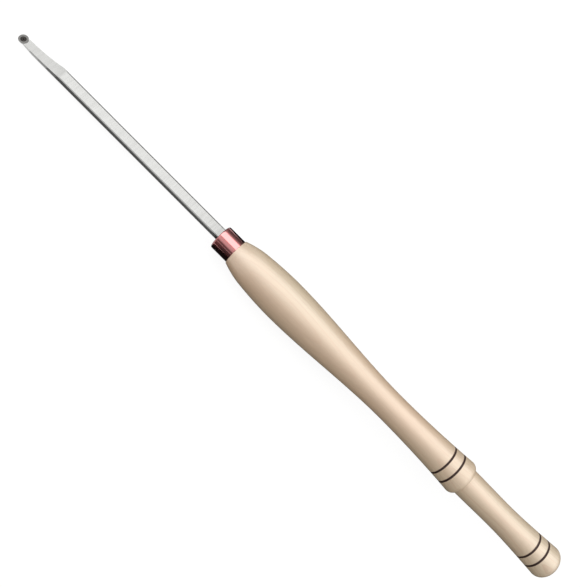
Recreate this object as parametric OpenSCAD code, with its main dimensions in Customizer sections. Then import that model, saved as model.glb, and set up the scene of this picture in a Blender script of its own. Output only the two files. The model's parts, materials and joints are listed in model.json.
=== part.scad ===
// Hollowing tool for the wood lathe: a square steel bar with a small round carbide
// cutter screwed to its nose, a metal ferrule and a long turned wooden handle.
// The X axis is the handle's axis, with the cutter at -X and the butt at +X.
// The origin is where the ferrule meets the handle's shoulder. The cutter's face looks to +Z.

/* [Bar] */
// Width of the square bar across its flats
bar_w = 10.8; // [9.6:0.1:12.4]
// Radius along the bar's four long edges
bar_edge_r = 1.5; // [0.5:0.1:2.4]
// Distance from the ferrule's front face to the cutter's axis
reach = 262; // [160:0.1:360]
// How far the bar's centre line lies beside the handle's axis
bar_offset = 1.7; // [0:0.1:2.2]

/* [Tang] */
// Diameter of the turned tang that goes into the handle
tang_d = 7.2; // [6:0.1:9]
// Length of the tang behind the bar's shoulder
tang_len = 95; // [60:1:130]
// Chamfer on the tang's end
tang_chamfer = 0.8; // [0.4:0.1:1.5]
// Thickness of the adhesive around the tang
glue_gap = 0.3; // [0.1:0.05:0.6]
// Depth of the adhesive that fills the bore behind the tang
glue_pool = 2.5; // [1:0.5:6]

/* [Neck] */
// Height of the neck's top, where it meets the cutter, above the bar's mid-plane
neck_z = 1.3; // [0.6:0.1:2.2]
// Fall of the neck's straight part towards the cutter, in degrees
neck_fall = 2.9; // [1:0.1:4]
// Length of the neck's straight part
neck_straight = 20; // [10:1:35]
// Radius of the ground ramp from the bar's top down to the neck
ramp_r = 240; // [150:5:320]
// Distance from the cutter's axis to the cut side of the neck
neck_half = 4.05; // [3.6:0.05:4.6]
// Radius of the long sweep that narrows the bar to the neck
sweep_r = 280; // [180:5:380]
// Radius of the nose around the cutter's axis
nose_r = 3.9; // [3.2:0.1:4.4]
// Radius, about the handle's axis, of the turned relief under the cutter's centre
relief_r = 3.35; // [3.2:0.05:4]
// Half angle of the turned relief
relief_angle = 8.8; // [6:0.1:12]

/* [Cutter] */
// Diameter of the round cutter at its cutting edge
cutter_d = 9.5; // [9:0.1:11]
// Thickness of the cutter
cutter_t = 2.4; // [2:0.1:2.8]
// Clearance angle of the cutter's side
cutter_clearance = 18; // [5:1:22]
// Diameter of the countersink in the cutter's face
sink_d = 5.3; // [4.8:0.1:6]
// Diameter of the cutter's bore under the countersink
bore_d = 3; // [2.7:0.1:3.4]
// Gap between the cutter's edge and the arc of its pocket
pocket_gap = 0.25; // [0.1:0.05:0.6]

/* [Cutter screw] */
// Thread diameter of the screw
screw_d = 2.5; // [2:0.1:2.6]
// Diameter of the screw's head
head_d = 4.2; // [3.6:0.1:4.6]
// Depth of the head's top below the cutter's face
head_recess = 0.25; // [0.1:0.05:0.5]
// Full angle of the countersink
sink_angle = 60; // [60:1:90]
// Length of the screw from its head's top to its tip
screw_len = 4; // [3.2:0.1:4.6]
// Width across the flats of the hexagon socket
hex_af = 1.5; // [1.2:0.1:2]
// Depth of the hexagon socket
hex_depth = 1.1; // [0.6:0.1:1.4]
// Radial play of the screw in the cutter and in its thread
screw_fit = 0.03; // [0.02:0.01:0.08]

/* [Ferrule] */
// Outside diameter of the ferrule
ferrule_d = 26; // [23:0.5:28]
// Length of the ferrule
ferrule_len = 21; // [14:0.5:30]
// Wall of the ferrule around the handle's spigot
ferrule_wall = 1.6; // [1:0.1:2.5]
// Thickness of the ferrule's front wall
ferrule_front = 3; // [2:0.1:5]
// Radius of the ferrule's front edge
ferrule_round = 1.5; // [0.5:0.1:2]
// Play of the tang in the ferrule's front wall
ferrule_play = 0.1; // [0.05:0.05:0.3]
// Glue line between the ferrule and the spigot
spigot_play = 0.05; // [0.03:0.01:0.1]

/* [Handle front] */
// Diameter of the handle at its front shoulder
shoulder_d = 28; // [27:0.5:32]
// Diameter where the steep rise behind the shoulder ends
rise_d = 38.8; // [35:0.2:40]
// Distance from the shoulder to the end of the steep rise
rise_x = 23; // [12:1:30]
// Diameter of the belly
belly_d = 43.2; // [40:0.2:48]
// Distance from the shoulder to the belly
belly_x = 63; // [50:1:90]
// Diameter of the waist
waist_d = 29.2; // [26:0.2:34]
// Distance from the shoulder to the waist
waist_x = 205; // [170:1:240]
// Diameter of the swell that ends the front part
swell_d = 36.6; // [34:0.2:40]
// Distance from the shoulder to the swell's edge
swell_x = 297.2; // [280:0.2:320]
// Length of the rounded end of the swell
swell_round = 5; // [3:0.5:9]

/* [Handle grip] */
// Length of the handle from its front shoulder to its butt
handle_len = 420; // [400:1:480]
// Diameter of the grip behind the swell
grip_d = 28.6; // [26:0.2:31]
// Diameter of the grip at its thinnest
grip_thin_d = 27.4; // [25:0.2:30]
// Distance from the shoulder to the grip's thinnest part
grip_thin_x = 350; // [332:1:360]
// Diameter of the butt
butt_d = 33.4; // [30:0.2:38]
// Length of the butt's rounded end
butt_round = 10; // [6:0.5:18]

/* [Handle slopes] */
// Slope of the outline where it leaves the shoulder
shoulder_slope = 0.36; // [0.2:0.02:0.5]
// Slope where the steep rise ends
rise_slope = 0.1; // [0.08:0.02:0.2]
// Slope where the outline reaches the swell's edge
swell_slope = 0.08; // [0:0.01:0.1]
// Slope where the grip reaches the butt
butt_slope = 0.065; // [0:0.005:0.1]

/* [Burned grooves] */
// Distance from the swell's edge to the nearer of the two front grooves
front_groove_back = 11.2; // [8:0.2:20]
// Distance between the two front grooves
front_groove_pitch = 11; // [6:0.2:16]
// Distance from the butt's end to the nearer of the two rear grooves
rear_groove_back = 21.7; // [16:0.1:26]
// Distance between the two rear grooves
rear_groove_pitch = 10.7; // [6:0.1:16]
// Width of a groove
groove_w = 1.8; // [1:0.1:2.6]
// Depth of a groove
groove_deep = 0.7; // [0.3:0.1:1.2]

/* [Hidden] */
$fa = 2;
$fs = 0.2;

// Overrun of a cutting shape past the solid that it cuts
over = 1;
// Least thickness of a cutter's edge around its bore
least_land = 0.1;
// Depth to which a ground arc cuts into the flat that it blends with
blend = 0.01;

// Places along the X axis
shoulder_x = -ferrule_len;
spigot_x = shoulder_x + ferrule_front;
cutter_x = shoulder_x - reach;
tang_end_x = shoulder_x + tang_len;
bore_end_x = tang_end_x + glue_pool;
grip_x = swell_x + swell_round;
butt_x = handle_len - butt_round;

// Radii of what is turned about the X axis
tang_r = tang_d / 2;
glue_r = tang_r + glue_gap;
spigot_r = ferrule_d / 2 - ferrule_wall;

// The cutter's face is level with the neck's top, and its seat is one thickness lower
cutter_r = cutter_d / 2;
pocket_r = cutter_r + pocket_gap;
seat_z = neck_z - cutter_t;

// The screw's head is sunk below the cutter's face, and its cone lies in the countersink
half_sink = sink_angle / 2;
head_z = neck_z - head_recess;
rim_z = neck_z - ((sink_d - head_d) / 2 - screw_fit) / tan(half_sink);

// Radius of a cubic curve at the fraction t of its length. It leaves radius r0 with
// slope m0 and reaches radius r1 with slope m1.
function cubic(t, length, r0, m0, r1, m1) =
    r0 * (2 * pow(t, 3) - 3 * pow(t, 2) + 1)
    + m0 * length * (pow(t, 3) - 2 * pow(t, 2) + t)
    + r1 * (3 * pow(t, 2) - 2 * pow(t, 3))
    + m1 * length * (pow(t, 3) - pow(t, 2));

// Points of the curve from a station to the next one, without its last point.
// A station is a place, a radius and a slope.
function span(a, b, steps) =
    let (length = b[0] - a[0])
    [for (k = [0 : steps - 1])
        [a[0] + length * k / steps, cubic(k / steps, length, a[1], a[2], b[1], b[2])]];

// Points of the curve through all the stations, with the last one
function outline(stations, steps) =
    let (last = len(stations) - 1)
    concat(
        [for (i = [0 : last - 1]) each span(stations[i], stations[i + 1], steps)],
        [[stations[last][0], stations[last][1]]]
    );

// Quarter of an ellipse that falls from radius r0 to r1 over a length, past its first point
function round_end(x, length, r0, r1, steps) =
    [for (k = [1 : steps])
        let (a = 90 * k / steps)
        [x + length * sin(a), r1 + (r0 - r1) * cos(a)]];

// Radius of an outline at a place along it, between the two points that lie around it
function radius_at(points, x) =
    let (i = max([for (k = [0 : len(points) - 2]) points[k][0] <= x ? k : 0]))
    lookup(x, [points[i], points[i + 1]]);

// Radius of the turned relief under the nose at a place along the X axis
function relief_at(x) = relief_r + (x - cutter_x) * tan(relief_angle);

front_outline = outline([
    [0, shoulder_d / 2, shoulder_slope],
    [rise_x, rise_d / 2, rise_slope],
    [belly_x, belly_d / 2, 0],
    [waist_x, waist_d / 2, 0],
    [swell_x, swell_d / 2, swell_slope]
], 14);

grip_outline = outline([
    [grip_x, grip_d / 2, 0],
    [grip_thin_x, grip_thin_d / 2, 0],
    [butt_x, butt_d / 2, butt_slope]
], 12);

// A solid turned about the X axis, from a section of radius and place
module about_axis() {
    rotate([0, 90, 0])
        rotate_extrude()
            children();
}

// A solid turned about the X axis, from an outline of place and radius
module turned(points) {
    about_axis()
        polygon([for (p = points) [p[1], p[0]]]);
}

// Square with rounded corners
module rounded_square(size, r) {
    inner = size - 2 * r;
    square([size, inner], center = true);
    square([inner, size], center = true);
    for (x = [-1, 1], y = [-1, 1])
        translate([x * inner / 2, y * inner / 2])
            circle(r = r);
}

// Side view of what is ground away above the neck. From the cutter it follows the neck's
// straight part, then an arc that runs out through the bar's top.
module above_neck() {
    start_x = cutter_x - cutter_d;
    foot_x = cutter_x + pocket_r + neck_straight;
    foot_z = neck_z + neck_straight * tan(neck_fall);
    polygon([
        [start_x, bar_w],
        [start_x, neck_z],
        [cutter_x + pocket_r, neck_z],
        [foot_x, foot_z],
        [foot_x, bar_w]
    ]);
    translate([foot_x - ramp_r * sin(neck_fall), foot_z + ramp_r * cos(neck_fall) - blend])
        circle(r = ramp_r);
}

// Plan of what is ground away beside the neck, on the far side only. It is parallel beside
// the cutter, then follows one long sweep that runs out through the bar's side.
module beside_neck() {
    start_x = cutter_x - cutter_d;
    sweep_x = cutter_x + pocket_r;
    translate([start_x, neck_half])
        square([sweep_x - start_x, bar_w]);
    translate([sweep_x, neck_half + sweep_r - blend])
        circle(r = sweep_r);
}

// The screw below a height, grown by a clearance, down to its tip or past it
module screw_form(top_z, low_z, grow) {
    cone = (head_d - screw_d) / 2 / tan(half_sink);
    translate([cutter_x, 0, 0])
        rotate_extrude()
            polygon([
                [0, low_z],
                [screw_d / 2 + grow, low_z],
                [screw_d / 2 + grow, rim_z - cone],
                [head_d / 2 + grow, rim_z],
                [head_d / 2 + grow, top_z],
                [0, top_z]
            ]);
}

// Square bar with its turned tang, its ground neck and its nose
module tool_bar() {
    color("silver")
    difference() {
        union() {
            translate([cutter_x - cutter_r, bar_offset, 0])
                rotate([90, 0, 90])
                    linear_extrude(cutter_r + reach)
                        rounded_square(bar_w, bar_edge_r);
            turned([
                [shoulder_x - over, 0],
                [shoulder_x - over, tang_r],
                [tang_end_x - tang_chamfer, tang_r],
                [tang_end_x, tang_r - tang_chamfer],
                [tang_end_x, 0]
            ]);
        }
        translate([0, bar_offset + bar_w, 0])
            rotate([90, 0, 0])
                linear_extrude(2 * bar_w)
                    above_neck();
        translate([0, 0, -bar_w])
            linear_extrude(2 * bar_w)
                beside_neck();
        // Round front of the nose in plan
        difference() {
            translate([cutter_x - cutter_d, -bar_w, -bar_w])
                cube([cutter_d, 2 * bar_w, 2 * bar_w]);
            translate([cutter_x, 0, -bar_w - over])
                cylinder(r = nose_r, h = 2 * (bar_w + over));
        }
        // Turned relief under the nose
        turned([
            [cutter_x - cutter_d, relief_at(cutter_x - cutter_d)],
            [cutter_x - cutter_d, 2 * bar_w],
            [cutter_x + 4 * bar_w, 2 * bar_w],
            [cutter_x + 4 * bar_w, relief_at(cutter_x + 4 * bar_w)]
        ]);
        // Pocket of the cutter
        translate([cutter_x, 0, seat_z])
            cylinder(r = pocket_r, h = bar_w);
        // Threaded hole of the screw
        screw_form(bar_w, -bar_w, screw_fit);
    }
}

// Round carbide cutter with a countersunk bore
module cutter() {
    sink_deep = min((sink_d - bore_d) / 2 / tan(half_sink), cutter_t - least_land);
    low_bore_r = sink_d / 2 - sink_deep * tan(half_sink);
    color("gainsboro")
    translate([cutter_x, 0, 0])
        rotate_extrude()
            polygon([
                [low_bore_r, seat_z],
                [cutter_r - cutter_t * tan(cutter_clearance), seat_z],
                [cutter_r, neck_z],
                [sink_d / 2, neck_z],
                [low_bore_r, neck_z - sink_deep]
            ]);
}

// Countersunk screw with a hexagon socket
module cutter_screw() {
    color("dimgray")
    difference() {
        screw_form(head_z, head_z - screw_len, 0);
        translate([cutter_x, 0, head_z - hex_depth])
            cylinder(d = hex_af / cos(30), h = hex_depth + over, $fn = 6);
    }
}

// Metal cap over the handle's front end, bored for the tang
module ferrule() {
    outer_r = ferrule_d / 2;
    hole_r = tang_r + ferrule_play;
    color("darkred")
    about_axis()
        difference() {
            union() {
                translate([hole_r, shoulder_x + ferrule_round])
                    square([outer_r - hole_r, ferrule_len - ferrule_round]);
                translate([hole_r, shoulder_x])
                    square([outer_r - ferrule_round - hole_r, 2 * ferrule_round]);
                translate([outer_r - ferrule_round, shoulder_x + ferrule_round])
                    circle(r = ferrule_round);
            }
            translate([0, spigot_x])
                square([spigot_r, ferrule_len]);
        }
}

// Adhesive that holds the tang in its bore
module tang_adhesive() {
    color("khaki")
    turned([
        [spigot_x, tang_r],
        [spigot_x, glue_r],
        [bore_end_x, glue_r],
        [bore_end_x, 0],
        [tang_end_x, 0],
        [tang_end_x, tang_r - tang_chamfer],
        [tang_end_x - tang_chamfer, tang_r]
    ]);
}

// Section of one burned groove across an outline
module groove(points, x) {
    r = radius_at(points, x);
    polygon([
        [r - groove_deep, x],
        [r + groove_deep, x - groove_w],
        [r + groove_deep, x + groove_w]
    ]);
}

// Turned wooden handle with its spigot, its bore and its burned grooves
module handle() {
    body = concat(
        [[spigot_x, glue_r], [spigot_x, spigot_r - spigot_play], [0, spigot_r - spigot_play]],
        front_outline,
        round_end(swell_x, swell_round, swell_d / 2, grip_d / 2, 10),
        [for (k = [1 : len(grip_outline) - 1]) grip_outline[k]],
        round_end(butt_x, butt_round, butt_d / 2, 0, 16),
        [[bore_end_x, 0], [bore_end_x, glue_r]]
    );
    color("burlywood")
    about_axis()
        difference() {
            polygon([for (p = body) [p[1], p[0]]]);
            for (i = [0 : 1]) {
                groove(front_outline, swell_x - front_groove_back - i * front_groove_pitch);
                groove(grip_outline, handle_len - rear_groove_back - i * rear_groove_pitch);
            }
        }
}

tool_bar();
cutter();
cutter_screw();
ferrule();
tang_adhesive();
handle();
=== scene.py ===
# %% [markdown]
# A hollowing tool for the wood lathe
#
# A hollowing tool reaches through the mouth of a vase and scrapes its inside. A square steel
# bar carries a small round carbide cutter on its nose, and a long turned handle gives the
# leverage that the overhang needs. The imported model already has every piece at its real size
# and place. This lesson gives the pieces their fine shape and their finish, lights them like a
# catalogue picture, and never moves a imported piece.

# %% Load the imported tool
import json
import math

import bmesh
import bpy
from mathutils import Matrix, Vector
from mathutils.geometry import interpolate_bezier


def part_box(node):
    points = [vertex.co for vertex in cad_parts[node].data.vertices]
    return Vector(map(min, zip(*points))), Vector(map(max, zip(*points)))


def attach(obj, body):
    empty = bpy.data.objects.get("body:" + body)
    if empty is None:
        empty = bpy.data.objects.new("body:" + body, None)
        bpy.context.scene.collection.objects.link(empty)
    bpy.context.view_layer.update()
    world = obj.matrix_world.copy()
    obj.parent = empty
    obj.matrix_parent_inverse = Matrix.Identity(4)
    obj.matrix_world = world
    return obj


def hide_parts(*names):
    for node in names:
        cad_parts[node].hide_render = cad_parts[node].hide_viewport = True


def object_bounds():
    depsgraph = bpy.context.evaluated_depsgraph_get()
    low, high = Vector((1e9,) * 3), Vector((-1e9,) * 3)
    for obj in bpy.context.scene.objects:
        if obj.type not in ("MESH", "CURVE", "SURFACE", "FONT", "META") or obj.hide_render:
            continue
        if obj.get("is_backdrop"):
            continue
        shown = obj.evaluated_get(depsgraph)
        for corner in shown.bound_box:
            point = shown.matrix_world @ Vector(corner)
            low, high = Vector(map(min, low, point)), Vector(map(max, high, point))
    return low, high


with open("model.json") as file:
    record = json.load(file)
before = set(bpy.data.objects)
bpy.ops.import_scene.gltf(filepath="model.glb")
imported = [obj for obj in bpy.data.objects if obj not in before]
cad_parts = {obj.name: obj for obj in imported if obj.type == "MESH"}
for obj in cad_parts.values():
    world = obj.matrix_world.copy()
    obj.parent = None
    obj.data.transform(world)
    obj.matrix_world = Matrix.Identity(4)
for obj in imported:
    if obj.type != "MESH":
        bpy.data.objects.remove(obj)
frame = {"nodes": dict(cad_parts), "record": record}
cad_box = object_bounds()
nodes = frame["nodes"]
scene = bpy.context.scene
MM = 0.001
print(f"packed tool: {len(nodes)} pieces, {(cad_box[1].x - cad_box[0].x) / MM:.0f} mm long")

# %% [markdown]
# The camera
#
# The picture looks down on the tool as it lies on a table, a little from the side, and the
# handle runs down to the right. Three facts fix the view: how far the camera leans from
# straight above, how far the picture is turned about the line of sight, and how far away the
# camera stands. The distance matters, because it decides how strongly the rings on the handle
# bend. Writing the camera's own axes as a matrix keeps each fact in one named value.

# %% Camera
LEAN = math.radians(19)
TURN = math.radians(45.04)
DISTANCE = 564 * MM
AIM_ALONG = 63.1 * MM
AIM_ACROSS = 8.55 * MM
LENS = 36.75

along = Vector((1, 0, 0))
across = Vector((0, math.cos(LEAN), math.sin(LEAN)))
toward_camera = along.cross(across)
aim = along * AIM_ALONG + across * AIM_ACROSS

camera = bpy.data.objects.new("camera", bpy.data.cameras.new("camera"))
picture_right = math.cos(TURN) * along + math.sin(TURN) * across
picture_up = math.cos(TURN) * across - math.sin(TURN) * along
camera.matrix_world = Matrix.Translation(aim + toward_camera * DISTANCE) @ Matrix(
    (picture_right, picture_up, toward_camera)
).transposed().to_4x4()
camera.data.lens = LENS
scene.collection.objects.link(camera)
scene.camera = camera
scene.view_settings.view_transform = "Standard"
print(f"camera: {DISTANCE / MM:.0f} mm away, {LENS} mm lens")

# %% [markdown]
# Colours and shader nodes
#
# Colours are written as the hex values that a paint program shows. Shaders count in linear
# light, so one function turns hex to linear. A second small function adds a shader node, sets
# its properties and joins its sockets, so that a finish reads as a short list of layers. A
# third turns the real width of a grain or a scratch into the scale of a noise.


# %% Colours
def linear(hex_colour):
    """Linear RGBA of an sRGB hex colour such as #c0ffee."""
    channels = [int(hex_colour[i : i + 2], 16) / 255 for i in (1, 3, 5)]
    light = [c / 12.92 if c < 0.04045 else ((c + 0.055) / 1.055) ** 2.4 for c in channels]
    return (*light, 1.0)


WHITE = linear("#ffffff")
print(f"middle grey #808080 is {linear('#808080')[0]:.2f} of white in linear light")


# %% Shader nodes
# Most of a noise lies between these two values.
NOISE_LOW, NOISE_HIGH = 0.3, 0.7


def add(tree, kind, sockets=(), stops=(), **settings):
    """Adds a node. Sockets are (name or number, value or another node's output) pairs, and stops
    are the (place, hex colour) pairs of a colour ramp."""
    made = tree.nodes.new("ShaderNode" + kind)
    for name, value in settings.items():
        setattr(made, name, value)
    for socket, value in sockets:
        if isinstance(value, bpy.types.NodeSocket):
            tree.links.new(value, made.inputs[socket])
        else:
            made.inputs[socket].default_value = value
    while stops and len(made.color_ramp.elements) < len(stops):
        made.color_ramp.elements.new(1.0)
    for element, (place, hex_colour) in zip(made.color_ramp.elements if stops else (), stops):
        element.position = place
        element.color = linear(hex_colour)
    return made


def finish_named(name):
    """A material with no nodes yet, and its node tree."""
    material = bpy.data.materials.new(name)
    material.use_nodes = True
    material.node_tree.nodes.clear()
    return material, material.node_tree


def noise_scale(width):
    """The scale that makes the spots of a noise this wide. At scale 1 they are half a metre."""
    return 0.5 / width


print(f"noise: spots of 1 mm take a scale of {noise_scale(MM):.0f}")

# %% [markdown]
# How the tool lies
#
# On a table the tool rests on two places: the belly of the handle, and the underside of the
# nose, because the steel bar outweighs the wood in front of the belly. The floor is therefore
# the plane that touches the nose and is tangent to the handle. Both are read from the packed
# pieces, so the floor follows if a size changes.

# %% Floor plane
NEARLY = 0.05 * MM

bar_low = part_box("tool_bar")[0].z
underside = [v.co for v in nodes["tool_bar"].data.vertices if v.co.z < bar_low + NEARLY]
nose = min(underside, key=lambda place: place.x)
floor_slope = max(
    math.atan2(nose.z - v.co.z, v.co.x - nose.x)
    for v in nodes["handle"].data.vertices
    if v.co.x > 0
)
lying = Matrix.Translation((nose.x, 0, nose.z)) @ Matrix.Rotation(floor_slope, 4, "Y")
print(f"floor: meets nose and belly, {math.degrees(floor_slope):.1f} degrees off the axis")

# %% Floor
FLOOR_SIZE = 14.0


def sheet(name, corners, place=lying):
    """A flat stage piece through corners, which are given on the axes of place."""
    mesh = bpy.data.meshes.new(name)
    mesh.from_pydata(corners, [], [range(len(corners))])
    made = bpy.data.objects.new(name, mesh)
    made.matrix_world = place
    scene.collection.objects.link(made)
    made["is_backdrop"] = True
    return made


half = FLOOR_SIZE / 2
floor = sheet("floor", [(-half, -half, 0), (half, -half, 0), (half, half, 0), (-half, half, 0)])
print(f"floor: {FLOOR_SIZE:.0f} m square")

# %% [markdown]
# White surroundings
#
# Catalogue pictures stand on white. The floor is a pale grey that takes the tool's shadow, and
# for the camera and for reflections it gets a glow that lifts the unshaded part to white. Far
# from the tool the glow is full, so the floor has no edge. The world does the same: it is white
# where it is seen, also in metal, and gives a plain soft grey light to everything else.

# %% Floor finish
FLOOR_GREY = "#7c7c7c"
FLOOR_GLOW = 0.88
FADE_FROM, FADE_TO = 0.9, 2.4


def seen(tree):
    """A factor of 1 for camera, mirror and glass rays, and 0 for the light that falls on things."""
    rays = add(tree, "LightPath").outputs
    share = rays["Is Camera Ray"]
    for other in ("Is Glossy Ray", "Is Transmission Ray"):
        larger = add(tree, "Math", [(0, share), (1, rays[other])], operation="MAXIMUM")
        share = larger.outputs[0]
    return share


paper, tree = finish_named("white_paper")
grey = add(tree, "BsdfDiffuse", [("Color", linear(FLOOR_GREY))])
distance = add(
    tree,
    "VectorMath",
    [(0, add(tree, "TexCoord").outputs["Object"])],
    operation="LENGTH",
)
level = add(
    tree,
    "MapRange",
    [("Value", distance.outputs["Value"]), ("From Min", FADE_FROM), ("From Max", FADE_TO),
     ("To Min", FLOOR_GLOW), ("To Max", 1.0)],
)
share = add(tree, "Math", [(0, seen(tree)), (1, level.outputs[0])], operation="MULTIPLY")
glow = add(tree, "Emission", [("Strength", share.outputs[0])])
both = add(tree, "AddShader", [(0, grey.outputs[0]), (1, glow.outputs[0])])
add(tree, "OutputMaterial", [("Surface", both.outputs[0])])
floor.data.materials.append(paper)
print(f"floor: white from {FADE_TO} m on, a little darker near the tool")

# %% World
SKY_LIGHT = 0.64

world = bpy.data.worlds.new("studio")
world.use_nodes = True
scene.world = world
tree = world.node_tree
tree.nodes.clear()
dim = add(tree, "Background", [("Color", WHITE), ("Strength", SKY_LIGHT)])
white = add(tree, "Background", [("Color", WHITE), ("Strength", 1.0)])
either = add(tree, "MixShader", [(0, seen(tree)), (1, dim.outputs[0]), (2, white.outputs[0])])
add(tree, "OutputWorld", [("Surface", either.outputs[0])])
print(f"world: white where seen, {SKY_LIGHT} of white as light on the tool")

# %% [markdown]
# The softbox and the cards
#
# One long softbox hangs over the tool and runs past both its ends. It is made of three lamps
# side by side, and the one on the far side is the brightest, because the far side of the handle
# is the lighter one in the picture. Polished metal shows what stands round it, and in an
# all-white room it would lose its form. A photographer sets cards round it. Here they are long
# strips with their edges on a circle round the handle, and more of them lie on the floor under
# the tool. Each glows at a level of its own: bright over the bar, so that its flat top is an
# even pale grey, and dark under and beside the tool, which draws the sides of the bar and of the
# ferrule. Only mirror rays meet them, so they shape the reflections and cast no shade.

# %% Softbox
LAMP_HEIGHT = 600 * MM
LAMP_FRONT = -900 * MM
LAMP_BACK = 1050 * MM
# Start and end in degrees from straight up towards +Y, and radiance
LAMPS = {
    "softbox_near_wing": (-24, -4, 0.5),
    "softbox_middle": (-4, 42, 0.36),
    "softbox_far_wing": (42, 64, 1.0),
}


def area_lamp(name, length, width, radiance):
    """A rectangular lamp that the camera does not see. A larger one is as bright to look at."""
    made = bpy.data.objects.new(name, bpy.data.lights.new(name, "AREA"))
    made.data.shape = "RECTANGLE"
    made.data.size = length
    made.data.size_y = width
    made.data.energy = radiance * math.pi * made.data.size * made.data.size_y
    made.visible_camera = False
    scene.collection.objects.link(made)
    return made


for name, (start, end, radiance) in LAMPS.items():
    near, far = (math.tan(math.radians(angle)) * LAMP_HEIGHT for angle in (start, end))
    lamp = area_lamp(name, LAMP_BACK - LAMP_FRONT, far - near, radiance)
    lamp.location = ((LAMP_FRONT + LAMP_BACK) / 2, (near + far) / 2, LAMP_HEIGHT)
    print(f"{name}: {lamp.data.energy:.1f} W over {lamp.data.size_y / MM:.0f} mm")

# %% Cards
CARD_RADIUS = 260 * MM


def at_angle(degrees, radius):
    """Place at an angle from straight up, towards +Y, round the handle's axis."""
    return Vector((0, math.sin(math.radians(degrees)), math.cos(math.radians(degrees)))) * radius


def card(name, corners, light, place=lying):
    """A stage piece with an even glow that only mirror rays meet."""
    made = sheet(name, corners, place)
    board, tree = finish_named(name + "_board")
    glow = add(tree, "Emission", [("Strength", light)])
    add(tree, "OutputMaterial", [("Surface", glow.outputs[0])])
    made.data.materials.append(board)
    made.visible_camera = False
    made.visible_diffuse = False
    made.visible_transmission = False
    made.visible_shadow = False


print(f"cards: round the handle they stand {CARD_RADIUS / MM:.0f} mm from its axis")

# %% Cards round the tool
# The camera stands over the handle, so the flat top of the bar mirrors places further forward.
CARD_FRONT, CARD_BACK = -900 * MM, 900 * MM
BAR_SHOWS = -400 * MM
ROOT_SHOWS = -108 * MM
FERRULE_SHOWS = -62 * MM
HANDLE_SHOWS = -30 * MM
# Start and end in degrees from straight up towards +Y, glow, and both ends along the tool
CARDS = {
    "card_near_high": (-58, -42, 0.24, FERRULE_SHOWS, CARD_BACK),
    "card_near_middle": (-80, -62, 0.12, FERRULE_SHOWS, CARD_BACK),
    "card_near_low": (-104, -80, 0.06, FERRULE_SHOWS, CARD_BACK),
    "card_over_neck": (-34, 27, 1.75, CARD_FRONT, BAR_SHOWS),
    "card_over_bar": (-34, 27, 2.0, BAR_SHOWS, ROOT_SHOWS),
    "card_over_root": (-34, 27, 1.95, ROOT_SHOWS, FERRULE_SHOWS),
    "card_over_ferrule": (-34, 27, 1.45, FERRULE_SHOWS, HANDLE_SHOWS),
    "card_beside_bar": (28, 100, 0.3, BAR_SHOWS, FERRULE_SHOWS),
    "card_far_top": (47, 56, 0.9, FERRULE_SHOWS, CARD_BACK),
    "card_far_high": (56, 70, 0.35, FERRULE_SHOWS, CARD_BACK),
    "card_far_low": (70, 98, 0.18, FERRULE_SHOWS, CARD_BACK),
}

for name, (start, end, light, front, back) in CARDS.items():
    low, high = (at_angle(degrees, CARD_RADIUS) for degrees in (start, end))
    front, back = along * front, along * back
    card(name, [front + low, back + low, back + high, front + high], light, Matrix())
print(f"cards round the tool: {len(CARDS)}")

# %% Cards under the tool
CARD_GAP = 0.3 * MM
UNDER_NOSE = -274 * MM
UNDER_NECK = -263 * MM
UNDER_RAMP = -252 * MM
UNDER_BAR = -240 * MM
UNDER_HANDLE = -27 * MM
BESIDE_HANDLE = -34 * MM
UNDER_NEAR, UNDER_FAR = -15 * MM, 80 * MM
# Both ends along the tool, both sides across it, and glow
UNDER_CARDS = {
    "card_under_nose": (UNDER_NOSE, UNDER_NECK, UNDER_NEAR, UNDER_FAR, 0.7),
    "card_under_neck": (UNDER_NECK, UNDER_RAMP, UNDER_NEAR, UNDER_FAR, 0.5),
    "card_under_ramp": (UNDER_RAMP, UNDER_BAR, UNDER_NEAR, UNDER_FAR, 0.25),
    "card_under_bar": (UNDER_BAR, UNDER_HANDLE, UNDER_NEAR, UNDER_FAR, 0.14),
    "card_under_handle": (UNDER_HANDLE, CARD_BACK, UNDER_NEAR, CARD_RADIUS, 0.015),
    "card_near_handle": (BESIDE_HANDLE, CARD_BACK, -CARD_RADIUS, UNDER_NEAR, 0.015),
}

for name, (front, back, near, far, light) in UNDER_CARDS.items():
    corners = [(front, near), (back, near), (back, far), (front, far)]
    card(name, [(x - nose.x, y, CARD_GAP) for x, y in corners], light)
print(f"cards under the tool: {len(UNDER_CARDS)}")

# %% [markdown]
# Turned pieces
#
# Handle, ferrule, cutter and screw are all turned, so each is an outline swung round an axis.
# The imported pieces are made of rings, one at each point of their outline. Reading the rings back
# gives the outline, and a smooth curve through them gives the fine shape with no size written
# twice. Blender's Screw modifier could swing the outline, but building the mesh directly keeps
# it closed at the axis and lets each ring carry its own data.

# %% Reading an outline
RING_DIGITS = 2
SMOOTH_CORNER = math.radians(30)


def rings(node, centre=Vector(), axis="X"):
    """Sorted (place, radius) pairs, in mm, of the rings that a turned node is made of."""
    i = "XYZ".index(axis)
    found = set()
    for vertex in nodes[node].data.vertices:
        offset = (vertex.co - centre) / MM
        place, offset[i] = offset[i], 0
        found.add((round(place, RING_DIGITS), round(offset.length, RING_DIGITS)))
    return sorted(found)


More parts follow.
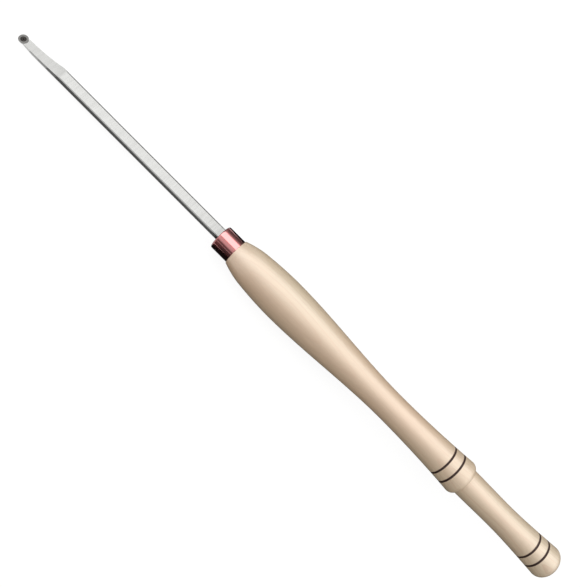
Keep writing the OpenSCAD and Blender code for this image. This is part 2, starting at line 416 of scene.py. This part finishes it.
def smooth(points, steps):
    """A curve through the points that keeps sharp corners. Each side becomes a Bezier curve with
    handles a third of its length."""
    points = [Vector(p) for p in points]
    sides = [b - a for a, b in zip(points, points[1:])]
    curve = []
    for i, side in enumerate(sides):
        before = after = side
        if i and sides[i - 1].angle(side) < SMOOTH_CORNER:
            before = sides[i - 1]
        if i + 1 < len(sides) and side.angle(sides[i + 1]) < SMOOTH_CORNER:
            after = sides[i + 1]
        reach = side.length / 3
        start = (before.normalized() + side.normalized()).normalized() * reach
        end = (side.normalized() + after.normalized()).normalized() * reach
        a, b = points[i], points[i + 1]
        handles = [v.to_3d() for v in (a, a + start, b - end, b)]
        curve += [tuple(p.xy) for p in interpolate_bezier(*handles, steps + 1)[:-1]]
    return curve + [tuple(points[-1])]


print(f"packed handle: {len(rings('handle'))} rings")

# %% Turning an outline
SHARP = math.radians(25)
SAME_POINT = 0.002 * MM


def turn(name, outline, segments, axis="X", centre=Vector(), closed=False):
    """A mesh of an outline of (place, radius) pairs in mm, turned about an axis. A radius may be
    a function of the angle, which is how a socket or a thread gets its form."""
    i = "XYZ".index(axis)
    angles = [2 * math.pi * k / segments for k in range(segments)]
    vertices, loops = [], []
    for place, radius in outline:
        radii = [radius(angle) if callable(radius) else radius for angle in angles]
        if max(radii) == 0:
            radii = radii[:1]
        loops.append([len(vertices) + k for k in range(len(radii))])
        for angle, reach in zip(angles, radii):
            offset = Vector()
            offset[i] = place
            offset[(i + 1) % 3] = reach * math.cos(angle)
            offset[(i + 2) % 3] = reach * math.sin(angle)
            vertices.append(centre + offset * MM)
    faces = []
    for a, b in zip(loops, loops[1:] + loops[:1] if closed else loops[1:]):
        for k in range(segments):
            corners = [a[k % len(a)], a[(k + 1) % len(a)], b[(k + 1) % len(b)], b[k % len(b)]]
            faces.append(list(dict.fromkeys(corners)))
    return solid(name, vertices, faces)


def solid(name, vertices, faces):
    """A closed mesh with its faces turned outwards and its corners shown sharp."""
    mesh = bpy.data.meshes.new(name)
    mesh.from_pydata(vertices, [], faces)
    work = bmesh.new()
    work.from_mesh(mesh)
    bmesh.ops.remove_doubles(work, verts=work.verts, dist=SAME_POINT)
    bmesh.ops.recalc_face_normals(work, faces=work.faces)
    work.to_mesh(mesh)
    work.free()
    mesh.shade_smooth()
    mesh.set_sharp_from_angle(angle=SHARP)
    made = bpy.data.objects.new(name, mesh)
    scene.collection.objects.link(made)
    return made


print(f"turning: corners above {math.degrees(SHARP):.0f} degrees are shown sharp")

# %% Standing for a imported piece
LARGE_FACE_WEIGHT = 90

bodies = frame["record"]["behaviour"]["bodies"]


def large_faces_first(made):
    """Shades a large flat face as flat, up to the small round or bevel that borders it."""
    weighted = made.modifiers.new("large_faces_first", "WEIGHTED_NORMAL")
    weighted.keep_sharp = True
    weighted.weight = LARGE_FACE_WEIGHT


def stands_for(made, node):
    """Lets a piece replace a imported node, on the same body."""
    work = bmesh.new()
    work.from_mesh(made.data)
    open_edges = sum(1 for edge in work.edges if len(edge.link_faces) != 2)
    print(f"{made.name}: {open_edges} open edges, {work.calc_volume() / MM**3:.0f} mm3")
    work.free()
    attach(made, next(body for body, members in bodies.items() if node in members))
    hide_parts(node)


print(f"bodies: {', '.join(bodies)}")

# %% [markdown]
# The handle
#
# The handle is one piece of pale maple, turned to a long belly, a waist, a swell and a thin grip.
# Four grooves are burned into it with a taut wire. A wire leaves a round-bottomed groove, so the
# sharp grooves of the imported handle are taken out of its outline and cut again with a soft
# section. Each ring remembers how near it lies to a groove, and the wood finish chars it there.

# %% Handle outline
BORE_REGION = 100
GROOVE_NOTCH = 0.3
CURVE_STEPS = 3

handle_rings = rings("handle")
spigot_radius = max(radius for place, radius in handle_rings if place < 0)
bore_radius = min(radius for place, radius in handle_rings if place < 0)
bore_end = max(
    place for place, radius in handle_rings if radius == bore_radius and place < BORE_REGION
)
skin = [p for p in handle_rings if p[0] >= 0 and (p[1] > spigot_radius or p[0] > bore_end)]
bottoms = [
    i
    for i in range(1, len(skin) - 1)
    if skin[i][1] < min(skin[i - 1][1], skin[i + 1][1]) - GROOVE_NOTCH
]
whole = smooth([p for i, p in enumerate(skin) if i not in bottoms], CURVE_STEPS)
print(f"handle: {len(skin)} rings on its skin, {len(whole)} after smoothing")

# %% Grooves
GROOVE_SAMPLES = 12
GROOVE_REACH = 1.5
GROOVE_SOFTNESS = 1.5

grooves = []
for i in bottoms:
    (start, left), (_, low), (end, right) = skin[i - 1 : i + 2]
    grooves.append(((start + end) / 2, (end - start) / 2, (left + right) / 2 - low))


def radius_on(outline, place):
    """Radius of an outline at a place along the axis."""
    for a, b in zip(outline, outline[1:]):
        if a[0] <= place <= b[0] and b[0] > a[0]:
            return a[1] + (b[1] - a[1]) * (place - a[0]) / (b[0] - a[0])
    return outline[-1][1]


def grooved(outline):
    """The outline with each groove cut as a row of close rings."""
    made = []
    for place, radius in outline:
        if any(abs(place - middle) < GROOVE_REACH * half for middle, half, depth in grooves):
            continue
        for middle, half, depth in grooves:
            if made and made[-1][0] < middle < place:
                for k in range(-GROOVE_SAMPLES, GROOVE_SAMPLES + 1):
                    u = GROOVE_REACH * k / GROOVE_SAMPLES
                    bowl = max(0, math.cos(min(1, abs(u)) * math.pi / 2)) ** GROOVE_SOFTNESS
                    spot = middle + u * half
                    made.append((spot, radius_on(outline, spot) - depth * bowl))
        made.append((place, radius))
    return made


for middle, half, depth in grooves:
    print(f"groove at {middle:.1f} mm: {2 * half:.1f} mm wide, {depth:.2f} mm deep")

# %% Handle shape
HANDLE_SEGMENTS = 128
CHAR_REACH = 1.45
CHAR_FADE = 0.45

outline = [
    (bore_end, 0),
    (bore_end, bore_radius),
    (handle_rings[0][0], bore_radius),
    (handle_rings[0][0], spigot_radius),
    (0, spigot_radius),
    *grooved(whole),
]
handle = turn("turned_handle", outline, HANDLE_SEGMENTS)
char = handle.data.attributes.new("char", "FLOAT", "POINT")
for vertex, value in zip(handle.data.vertices, char.data):
    half_widths = min(abs(vertex.co.x / MM - middle) / half for middle, half, depth in grooves)
    value.value = min(1, max(0, (CHAR_REACH - half_widths) / CHAR_FADE))
stands_for(handle, "handle")
print(f"handle: {len(outline)} rings turned, {len(grooves)} grooves")

# %% [markdown]
# Maple under lacquer
#
# Maple is a pale, dense wood with no open pores. What the eye finds on it is a faint line at the
# end of each year's growth, short silky fibres along the grain and a slow change of tone. The
# year rings lie round the tree's heart, which was well outside this blank, so on the turned
# belly they open into long flames, and on the butt they show as arcs. Drawing them in the
# object's own space gives both for nothing. A clear satin lacquer lies over all of it, and the
# charred grooves stay dull. Lacquer has an IOR of about 1.5. Here it is raised until the sheen is
# as strong as on the real handle.

# %% Maple grain
RING_WIDTH = 3.2 * MM
RING_BEND = 3.5
BEND_SCALE = 0.06 * MM / RING_WIDTH
HEART_OFFSET = (0, 0.034, -0.058)
ALONG_GRAIN = 0.12
FIBRE_WIDTH = 0.45 * MM
FIBRE_LENGTH = 16 * MM
TONE_PATCH = 20 * MM

maple, tree = finish_named("lacquered_maple")
place = add(tree, "TexCoord").outputs["Object"]
from_heart = add(
    tree,
    "Mapping",
    [("Vector", place), ("Location", HEART_OFFSET), ("Scale", (ALONG_GRAIN, 1, 1))],
).outputs["Vector"]
# A wave texture of scale 1 repeats after a tenth of pi.
years = add(
    tree,
    "TexWave",
    [("Vector", from_heart), ("Scale", math.pi / 10 / RING_WIDTH), ("Distortion", RING_BEND),
     ("Detail", 3.0), ("Detail Scale", BEND_SCALE), ("Detail Roughness", 0.55)],
    wave_type="RINGS",
    rings_direction="X",
    wave_profile="SAW",
)
stretched = add(
    tree, "Mapping", [("Vector", place), ("Scale", (FIBRE_WIDTH / FIBRE_LENGTH, 1, 1))]
).outputs["Vector"]
fibre = add(
    tree,
    "TexNoise",
    [("Vector", stretched), ("Scale", noise_scale(FIBRE_WIDTH)), ("Detail", 4.0),
     ("Roughness", 0.6)],
)
tone = add(
    tree,
    "TexNoise",
    [("Vector", from_heart), ("Scale", noise_scale(TONE_PATCH)), ("Detail", 2.0)],
)
print(f"grain: a year is {RING_WIDTH / MM} mm, a fibre {FIBRE_WIDTH / MM} mm")

# %% Maple colour
MAPLE_PALE = "#dbc8a9"
MAPLE_LATE = "#d0b291"
MAPLE_WARM = "#dcbc9c"
LATE_FROM, LATE_AT = 0.72, 0.96
WARM_FROM, WARM_TO = 0.4, 0.7
SILK_DARK, SILK_LIGHT = 0.94, 1.04

growth = add(
    tree,
    "ValToRGB",
    [("Fac", years.outputs["Fac"])],
    stops=[(0.0, MAPLE_PALE), (LATE_FROM, MAPLE_PALE), (LATE_AT, MAPLE_LATE), (1.0, MAPLE_PALE)],
)
warmth = add(
    tree,
    "MapRange",
    [("Value", tone.outputs["Fac"]), ("From Min", WARM_FROM), ("From Max", WARM_TO)],
)
toned = add(
    tree,
    "Mix",
    [("Factor", warmth.outputs["Result"]), (6, growth.outputs[0]), (7, linear(MAPLE_WARM))],
    data_type="RGBA",
)
silk = add(
    tree,
    "MapRange",
    [("Value", fibre.outputs["Fac"]), ("From Min", NOISE_LOW), ("From Max", NOISE_HIGH),
     ("To Min", SILK_DARK), ("To Max", SILK_LIGHT)],
)
grained = add(
    tree,
    "VectorMath",
    [(0, toned.outputs[2]), ("Scale", silk.outputs["Result"])],
    operation="SCALE",
)
print(f"maple: {MAPLE_PALE} wood, {MAPLE_LATE} at the end of a year")

# %% Char and lacquer
CHAR_EDGE = "#5c3820"
CHAR_DARK = "#331a0e"
CHAR_EDGE_AT, CHAR_DARK_AT = 0.35, 0.8
CHAR_ROUGHNESS = 0.85
CHAR_LACQUER = 0.1
LACQUER_ROUGHNESS = 0.42
LACQUER_IOR = 2.05
WOOD_IOR = 1.5
FIBRE_RELIEF = 0.25
FIBRE_DEPTH = 0.02 * MM

burn = add(tree, "Attribute", attribute_name="char").outputs["Fac"]
charred = add(
    tree,
    "ValToRGB",
    [("Fac", burn)],
    stops=[(0.0, MAPLE_LATE), (CHAR_EDGE_AT, CHAR_EDGE), (CHAR_DARK_AT, CHAR_DARK)],
)
coloured = add(
    tree,
    "Mix",
    [("Factor", burn), (6, grained.outputs[0]), (7, charred.outputs[0])],
    data_type="RGBA",
)
dull = add(
    tree,
    "MapRange",
    [("Value", burn), ("To Min", LACQUER_ROUGHNESS), ("To Max", CHAR_ROUGHNESS)],
)
lacquer = add(
    tree, "MapRange", [("Value", burn), ("To Min", 1.0), ("To Max", CHAR_LACQUER)]
)
relief = add(
    tree,
    "Bump",
    [("Height", fibre.outputs["Fac"]), ("Strength", FIBRE_RELIEF), ("Distance", FIBRE_DEPTH)],
)
wood = add(
    tree,
    "BsdfPrincipled",
    [("Base Color", coloured.outputs[2]), ("Roughness", dull.outputs["Result"]),
     ("IOR", WOOD_IOR), ("Coat Weight", lacquer.outputs["Result"]),
     ("Coat Roughness", LACQUER_ROUGHNESS), ("Coat IOR", LACQUER_IOR),
     ("Normal", relief.outputs["Normal"])],
)
add(tree, "OutputMaterial", [("Surface", wood.outputs[0])])
handle.data.materials.append(maple)
print("finish: lacquered maple, charred in the grooves")

# %% [markdown]
# The ferrule
#
# A ferrule is a short metal cap that keeps the wood round the tang from splitting. This one is
# turned from aluminium, with a well rounded front edge and a small chamfer where it meets the
# wood. The round is what makes its highlight bend at the front, so it gets many rings.

# %% Ferrule shape
FERRULE_SEGMENTS = 144
ROUND_STEPS = 14
FERRULE_CHAMFER = 0.3
INNER_CHAMFER = 0.2

ferrule_rings = rings("ferrule")
front, back = ferrule_rings[0][0], ferrule_rings[-1][0]
outer = max(radius for place, radius in ferrule_rings)
hole = min(radius for place, radius in ferrule_rings)
inner = min(radius for place, radius in ferrule_rings if place == back)
wall = min(place for place, radius in ferrule_rings if radius == inner)
bend = min(place for place, radius in ferrule_rings if radius == outer) - front
quarter = [math.pi / 2 * k / ROUND_STEPS for k in range(ROUND_STEPS + 1)]
outline = [
    (wall, inner),
    (wall, hole),
    (front + INNER_CHAMFER, hole),
    (front, hole + INNER_CHAMFER),
    *[(front + bend * (1 - math.cos(a)), outer - bend * (1 - math.sin(a))) for a in quarter],
    (back - FERRULE_CHAMFER, outer),
    (back, outer - FERRULE_CHAMFER),
    (back, inner),
]
ferrule = turn("ferrule_cap", outline, FERRULE_SEGMENTS, closed=True)
large_faces_first(ferrule)
stands_for(ferrule, "ferrule")
print(f"ferrule: {outer * 2:.1f} mm across, front round of {bend:.1f} mm")

# %% [markdown]
# Red anodised aluminium
#
# The cap was polished and then anodised. Anodising grows a clear, hard skin of aluminium oxide,
# and the dye sits in that skin. So the metal underneath gives the red mirror, and the top of the
# skin gives a second, colourless reflection that turns the highlight almost white. A metallic
# base with a coat says exactly this. The oxide's IOR is about 1.77, and it is raised here to match
# the pale streak. Faint turning marks run round the cap.

# %% Red anodised aluminium finish
ANODISED_RED = "#963c3a"
TURNING_MARK = 0.35 * MM
POLISHED, HAZED = 0.13, 0.19
OXIDE_ROUGHNESS = 0.08
OXIDE_IOR = 2.1

anodised, tree = finish_named("red_anodised_aluminium")
place = add(tree, "TexCoord").outputs["Object"]
lathe_marks = add(
    tree,
    "TexNoise",
    [("Vector", add(tree, "SeparateXYZ", [("Vector", place)]).outputs["X"]),
     ("Scale", noise_scale(TURNING_MARK)), ("Detail", 2.0)],
)
haze = add(
    tree,
    "MapRange",
    [("Value", lathe_marks.outputs["Fac"]), ("From Min", NOISE_LOW), ("From Max", NOISE_HIGH),
     ("To Min", POLISHED), ("To Max", HAZED)],
)
metal = add(
    tree,
    "BsdfPrincipled",
    [("Base Color", linear(ANODISED_RED)), ("Metallic", 1.0), ("Roughness", haze.outputs["Result"]),
     ("Coat Weight", 1.0), ("Coat Roughness", OXIDE_ROUGHNESS), ("Coat IOR", OXIDE_IOR)],
)
add(tree, "OutputMaterial", [("Surface", metal.outputs[0])])
ferrule.data.materials.append(anodised)
print("finish: red anodised aluminium")

# %% [markdown]
# Strip lights
#
# The lacquer and the red cap show a broad pale sheen, and the steel beside them would burn out in
# a light that strong. Light linking lets a lamp light one chosen piece. So the cap and the handle
# each get a strip light of their own, which only mirror rays see.

# %% Strip lights
STRIP_HEIGHT = 195 * MM
STRIP_FRONT = -245 * MM
# Piece, degrees from straight up towards +Y, half of its width in degrees, radiance, back end
STRIP_LIGHTS = {
    "strip_on_ferrule": (ferrule, 17.5, 23, 2.7, 155 * MM),
    "strip_on_handle": (handle, 20, 28, 1.25, 900 * MM),
}

for name, (piece, angle, half_angle, radiance, back) in STRIP_LIGHTS.items():
    width = 2 * STRIP_HEIGHT * math.tan(math.radians(half_angle))
    strip = area_lamp(name, back - STRIP_FRONT, width, radiance)
    strip.matrix_world = (
        Matrix.Translation(along * (STRIP_FRONT + back) / 2)
        @ Matrix.Rotation(-math.radians(angle), 4, "X")
        @ Matrix.Translation((0, 0, STRIP_HEIGHT))
    )
    strip.visible_diffuse = False
    strip.light_linking.receiver_collection = bpy.data.collections.new(name + "_lights")
    strip.light_linking.receiver_collection.objects.link(piece)
    print(f"{name}: {width / MM:.0f} mm wide, lights {piece.name} alone")

# %% [markdown]
# The bar
#
# The bar is square stainless stock. Its front is ground by hand to a ramp, a neck and a round
# nose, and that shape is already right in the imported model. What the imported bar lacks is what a
# file does last: every corner is broken a little, so that it catches a thin line of light and
# does not cut the hand. A copy of the mesh gets those small bevels. They would bend the shading
# of the flats beside them, so a modifier lets the large faces lead it.

# %% Bar shape
EDGE_BREAK = 0.15 * MM
EDGE_STEPS = 2
EDGE_ROUND = 0.5
FLAT = math.radians(0.5)
CORNER = math.radians(32)

source = nodes["tool_bar"].data
bar = solid(
    "ground_bar",
    [tuple(v.co) for v in source.vertices],
    [tuple(p.vertices) for p in source.polygons],
)
work = bmesh.new()
work.from_mesh(bar.data)
bmesh.ops.dissolve_limit(work, angle_limit=FLAT, verts=work.verts, edges=work.edges)
corners = [e for e in work.edges if len(e.link_faces) == 2 and e.calc_face_angle() > CORNER]
bmesh.ops.bevel(
    work,
    geom=corners,
    offset=EDGE_BREAK,
    segments=EDGE_STEPS,
    profile=EDGE_ROUND,
    affect="EDGES",
)
work.to_mesh(bar.data)
work.free()
bar.data.set_sharp_from_angle(angle=SHARP)
large_faces_first(bar)
stands_for(bar, "tool_bar")
print(f"bar: {len(corners)} corners broken by {EDGE_BREAK / MM} mm")

# %% [markdown]
# Ground stainless steel
#
# The bar and its neck were ground on a wheel, across their length. The wheel leaves fine
# parallel scratches that bend a little, because the wheel is round. They scatter light along the
# bar and keep the highlight soft. The scratches are a noise that is drawn out long across the
# bar and kept short along it. Real ones are about 0.05 mm wide and would not show in a picture of
# the whole tool, so they are drawn wider, and broad soft bands lie among them.

# %% Scratches
SCRATCH_WIDTH = 0.18 * MM
SCRATCH_BAND = 1.5 * MM
SCRATCH_LENGTH = 9 * MM
BAND_SHARE = 0.4
WHEEL_RADIUS = 70 * MM


def scratched(tree):
    """A noise of fine scratches and broad bands across the bar, bent as the wheel is."""
    place = add(tree, "TexCoord").outputs["Object"]
    parts = add(tree, "SeparateXYZ", [("Vector", place)]).outputs
    square = add(tree, "Math", [(0, parts["Y"]), (1, parts["Y"])], operation="MULTIPLY")
    bent = add(
        tree,
        "Math",
        [(0, square.outputs[0]), (1, 0.5 / WHEEL_RADIUS), (2, parts["X"])],
        operation="MULTIPLY_ADD",
    )
    bowed = add(
        tree, "CombineXYZ", [("X", bent.outputs[0]), ("Y", parts["Y"]), ("Z", parts["Z"])]
    )
    layers = []
    for width, detail in ((SCRATCH_WIDTH, 3.0), (SCRATCH_BAND, 2.0)):
        slender = width / SCRATCH_LENGTH
        long = add(
            tree,
            "VectorMath",
            [(0, bowed.outputs[0]), (1, (1.0, slender, slender))],
            operation="MULTIPLY",
        )
        noise = add(
            tree,
            "TexNoise",
            [("Vector", long.outputs[0]), ("Scale", noise_scale(width)), ("Detail", detail)],
        )
        layers.append(noise.outputs["Fac"])
    both = add(
        tree,
        "Math",
        [(0, layers[1]), (1, BAND_SHARE), (2, layers[0])],
        operation="MULTIPLY_ADD",
    )
    return both.outputs[0]


print(f"scratches: {SCRATCH_WIDTH / MM} mm wide, in bands of {SCRATCH_BAND / MM} mm")

# %% Ground stainless finish
STAINLESS = "#b0b0ae"
STAINLESS_DARK = "#a4a4a2"
STAINLESS_ROUGHNESS = 0.2
# The two layers of noise swing round this mean, mostly by this much.
SCRATCH_MEAN = (1 + BAND_SHARE) / 2
SCRATCH_SWING = 0.2
ROUGHNESS_SWING = 0.03
SCRATCH_RELIEF = 0.2
SCRATCH_DEPTH = 0.005 * MM


def ground(name, light, dark, roughness):
    """A metal ground across the bar, with bent scratches, between two greys."""
    material, tree = finish_named(name)
    scratches = scratched(tree)
    low, high = SCRATCH_MEAN - SCRATCH_SWING, SCRATCH_MEAN + SCRATCH_SWING
    shade = add(tree, "MapRange", [("Value", scratches), ("From Min", low), ("From Max", high)])
    colour = add(
        tree,
        "Mix",
        [("Factor", shade.outputs["Result"]), (6, linear(dark)), (7, linear(light))],
        data_type="RGBA",
    )
    dull = add(
        tree,
        "MapRange",
        [("Value", scratches), ("From Min", low), ("From Max", high),
         ("To Min", roughness + ROUGHNESS_SWING), ("To Max", roughness - ROUGHNESS_SWING)],
    )
    relief = add(
        tree,
        "Bump",
        [("Height", scratches), ("Strength", SCRATCH_RELIEF), ("Distance", SCRATCH_DEPTH)],
    )
    metal = add(
        tree,
        "BsdfPrincipled",
        [("Base Color", colour.outputs[2]), ("Metallic", 1.0),
         ("Roughness", dull.outputs["Result"]), ("Normal", relief.outputs["Normal"])],
    )
    add(tree, "OutputMaterial", [("Surface", metal.outputs[0])])
    return material


stainless = ground("ground_stainless_steel", STAINLESS, STAINLESS_DARK, STAINLESS_ROUGHNESS)
bar.data.materials.append(stainless)
print("finish: ground stainless steel")

# %% [markdown]
# The cutter
#
# The cutter is a small disc of sintered tungsten carbide. Its face is lapped flat, its side
# leans in to give the edge clearance, and a countersunk bore takes the screw. The edge stays
# sharp. The rims of the bore and of the seat have the small chamfers that the press leaves.

# %% Cutter shape
CUTTER_SEGMENTS = 144
CUTTER_CHAMFER = 0.12

joints = {joint["name"]: joint for joint in frame["record"]["behaviour"]["joints"]}
cutter_axis = Vector(joints["cutter_turn"]["pos_m"])
cutter_rings = rings("cutter", cutter_axis, "Z")
seat, face = cutter_rings[0][0], cutter_rings[-1][0]
edge = max(radius for height, radius in cutter_rings)
bore = min(radius for height, radius in cutter_rings)
base = max(radius for height, radius in cutter_rings if height == seat)
mouth = min(radius for height, radius in cutter_rings if height == face)
sink_low = max(height for height, radius in cutter_rings if radius == bore)
lean = (edge - base) / (face - seat)
outline = [
    (sink_low, bore),
    (seat + CUTTER_CHAMFER, bore),
    (seat, bore + CUTTER_CHAMFER),
    (seat, base - CUTTER_CHAMFER),
    (seat + CUTTER_CHAMFER, base + CUTTER_CHAMFER * lean),
    (face, edge),
    (face, mouth + CUTTER_CHAMFER),
    (face - CUTTER_CHAMFER, mouth),
]
cutter = turn("round_cutter", outline, CUTTER_SEGMENTS, "Z", cutter_axis, closed=True)
stands_for(cutter, "cutter")
print(f"cutter: {edge * 2:.1f} mm across, {face - seat:.1f} mm thick")

# %% [markdown]
# Ground tungsten carbide
#
# Carbide is a heavy grey metal-like ceramic. Ground and lapped, it is a little darker and
# harder-looking than steel, with a fine straight grind and almost no colour of its own.

# %% Ground carbide finish
CARBIDE = "#72716f"
CARBIDE_DARK = "#666563"
CARBIDE_ROUGHNESS = 0.24

carbide = ground("ground_tungsten_carbide", CARBIDE, CARBIDE_DARK, CARBIDE_ROUGHNESS)
cutter.data.materials.append(carbide)
print("finish: ground tungsten carbide")

# %% [markdown]
# The cutter's screw
#
# The screw is a countersunk M2.5 with a hexagon socket. Its head is turned, so it has a small
# chamfer round the rim and round the socket, and the socket ends in a drilled cone. The thread
# is a real helix: each ring of the shank has a radius that depends on the angle, and the next
# ring is the same curve turned a little further.

# %% Screw outline
screw_rings = rings("cutter_screw", cutter_axis, "Z")
tip, top = screw_rings[0][0], screw_rings[-1][0]
head = max(radius for height, radius in screw_rings)
socket = min(radius for height, radius in screw_rings if radius > 0)
shank = max(radius for height, radius in screw_rings if height == tip)
rim = min(height for height, radius in screw_rings if radius == head)
neck = max(height for height, radius in screw_rings if radius == shank)
socket_floor = min(height for height, radius in screw_rings if radius == socket)
print(f"screw: {head * 2:.1f} mm head, {top - tip:.1f} mm long")

# %% Socket and thread
SIXTH = math.pi / 3
FLANK = math.pi / 6
PITCH = 0.45
# A metric thread is 0.6134 pitches deep, and its crest is an eighth of the pitch wide.
THREAD_DEPTH = 0.6134 * PITCH
CREST_HALF = PITCH / 16
TIP_CHAMFER = 0.3

flat = socket * math.cos(SIXTH / 2)


def hexagon(angle):
    """Radius of the hexagon socket at an angle, with a corner at angle 0."""
    return flat / math.cos((angle % SIXTH) - SIXTH / 2)


def thread_at(height):
    """Radius of the thread as a function of the angle, at one height of the shank."""
    run_out = min(1, (neck - height) / PITCH)
    end_cone = shank - max(0, TIP_CHAMFER - (height - tip))

    def radius(angle):
        turn_part = (height / PITCH - angle / (2 * math.pi)) % 1
        from_crest = min(turn_part, 1 - turn_part) * PITCH - CREST_HALF
        cut = min(THREAD_DEPTH, max(0, from_crest / math.tan(FLANK)))
        return min(end_cone, shank - cut * run_out)

    return radius


print(f"thread: {(neck - tip) / PITCH:.1f} turns, {THREAD_DEPTH:.2f} mm deep")

# %% Screw shape
SCREW_SEGMENTS = 72
RINGS_A_TURN = 12
RIM_CHAMFER = 0.12
SOCKET_CHAMFER = 0.14
DRILL_POINT = 0.28
DRILL_SHARE = 0.9

steps = math.ceil((neck - tip) / PITCH * RINGS_A_TURN)
heights = [neck + (tip - neck) * k / steps for k in range(1, steps + 1)]
outline = [
    (socket_floor - DRILL_POINT, 0),
    (socket_floor, flat * DRILL_SHARE),
    (socket_floor, hexagon),
    (top - SOCKET_CHAMFER, hexagon),
    (top, socket + SOCKET_CHAMFER),
    (top, head - RIM_CHAMFER),
    (top - RIM_CHAMFER, head),
    (rim, head),
    (neck, shank),
    *[(height, thread_at(height)) for height in heights],
    (tip, 0),
]
screw = turn("cutter_fixing_screw", outline, SCREW_SEGMENTS, "Z", cutter_axis)
stands_for(screw, "cutter_screw")
print(f"screw: {len(outline)} rings turned")

# %% [markdown]
# Steel of the screw
#
# The screw is plain alloy steel, turned and then rumbled, so it is duller than the ground parts.
# Its grey is set darker than the steel itself: that is painted shade for the head, which sits
# low in the countersink. Fine rings from the turning stay on its head. Their radius is the
# distance from the screw's axis.

# %% Screw steel finish
# Partly painted shade: the steel's grey is set darker to stand for the shade on the sunken head.
SCREW_STEEL_AND_SHADE = "#403d3b"
SCREW_MARK = 0.16 * MM
SCREW_SMOOTH, SCREW_DULL = 0.28, 0.42
MARK_RELIEF = 0.3
MARK_DEPTH = 0.01 * MM

screw_steel_and_shade, tree = finish_named("turned_steel_and_painted_shade")
place = add(tree, "TexCoord").outputs["Object"]
level = add(tree, "VectorMath", [(0, place), (1, (1, 1, 0))], operation="MULTIPLY")
from_axis = add(
    tree,
    "VectorMath",
    [(0, level.outputs[0]), (1, tuple(cutter_axis))],
    operation="DISTANCE",
)
marks = add(
    tree,
    "TexNoise",
    [("Vector", from_axis.outputs["Value"]), ("Scale", noise_scale(SCREW_MARK)),
     ("Detail", 2.0)],
)
dull = add(
    tree,
    "MapRange",
    [("Value", marks.outputs["Fac"]), ("From Min", NOISE_LOW), ("From Max", NOISE_HIGH),
     ("To Min", SCREW_SMOOTH), ("To Max", SCREW_DULL)],
)
relief = add(
    tree,
    "Bump",
    [("Height", marks.outputs["Fac"]), ("Strength", MARK_RELIEF), ("Distance", MARK_DEPTH)],
)
metal = add(
    tree,
    "BsdfPrincipled",
    [("Base Color", linear(SCREW_STEEL_AND_SHADE)), ("Metallic", 1.0), ("Roughness", dull.outputs["Result"]),
     ("Normal", relief.outputs["Normal"])],
)
add(tree, "OutputMaterial", [("Surface", metal.outputs[0])])
screw.data.materials.append(screw_steel_and_shade)
print("finish: turned alloy steel")

# %% [markdown]
# The adhesive
#
# The tang is glued into the handle with epoxy. Nobody sees it unless the handle is cut open, but
# it is part of the tool, so it gets its own finish: pale amber, slightly cloudy with trapped air.

# %% Cured epoxy finish
EPOXY_AMBER = "#cdb585"
EPOXY_CLOUD = "#ddcfae"
AMBER_AT, CLOUD_AT = 0.35, 0.65
BUBBLE = 0.8 * MM
EPOXY_ROUGHNESS = 0.35
EPOXY_IOR = 1.55

epoxy, tree = finish_named("cured_epoxy")
place = add(tree, "TexCoord").outputs["Object"]
cloud = add(
    tree, "TexNoise", [("Vector", place), ("Scale", noise_scale(BUBBLE)), ("Detail", 3.0)]
)
clouded = add(
    tree,
    "ValToRGB",
    [("Fac", cloud.outputs["Fac"])],
    stops=[(AMBER_AT, EPOXY_AMBER), (CLOUD_AT, EPOXY_CLOUD)],
)
resin = add(
    tree,
    "BsdfPrincipled",
    [("Base Color", clouded.outputs[0]), ("Roughness", EPOXY_ROUGHNESS), ("IOR", EPOXY_IOR)],
)
add(tree, "OutputMaterial", [("Surface", resin.outputs[0])])
nodes["tang_adhesive"].data.materials[0] = epoxy
print("finish: cured epoxy")

# %% [markdown]
# The finished box
#
# The box round the finished pieces is kept beside the box of the imported ones, so that the two
# can be compared.

# %% Finished box
visual_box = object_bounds()
past = max(*(cad_box[0] - visual_box[0]), *(visual_box[1] - cad_box[1]))
print(f"finished tool: at most {past / MM:.2f} mm past the box of the packed one")
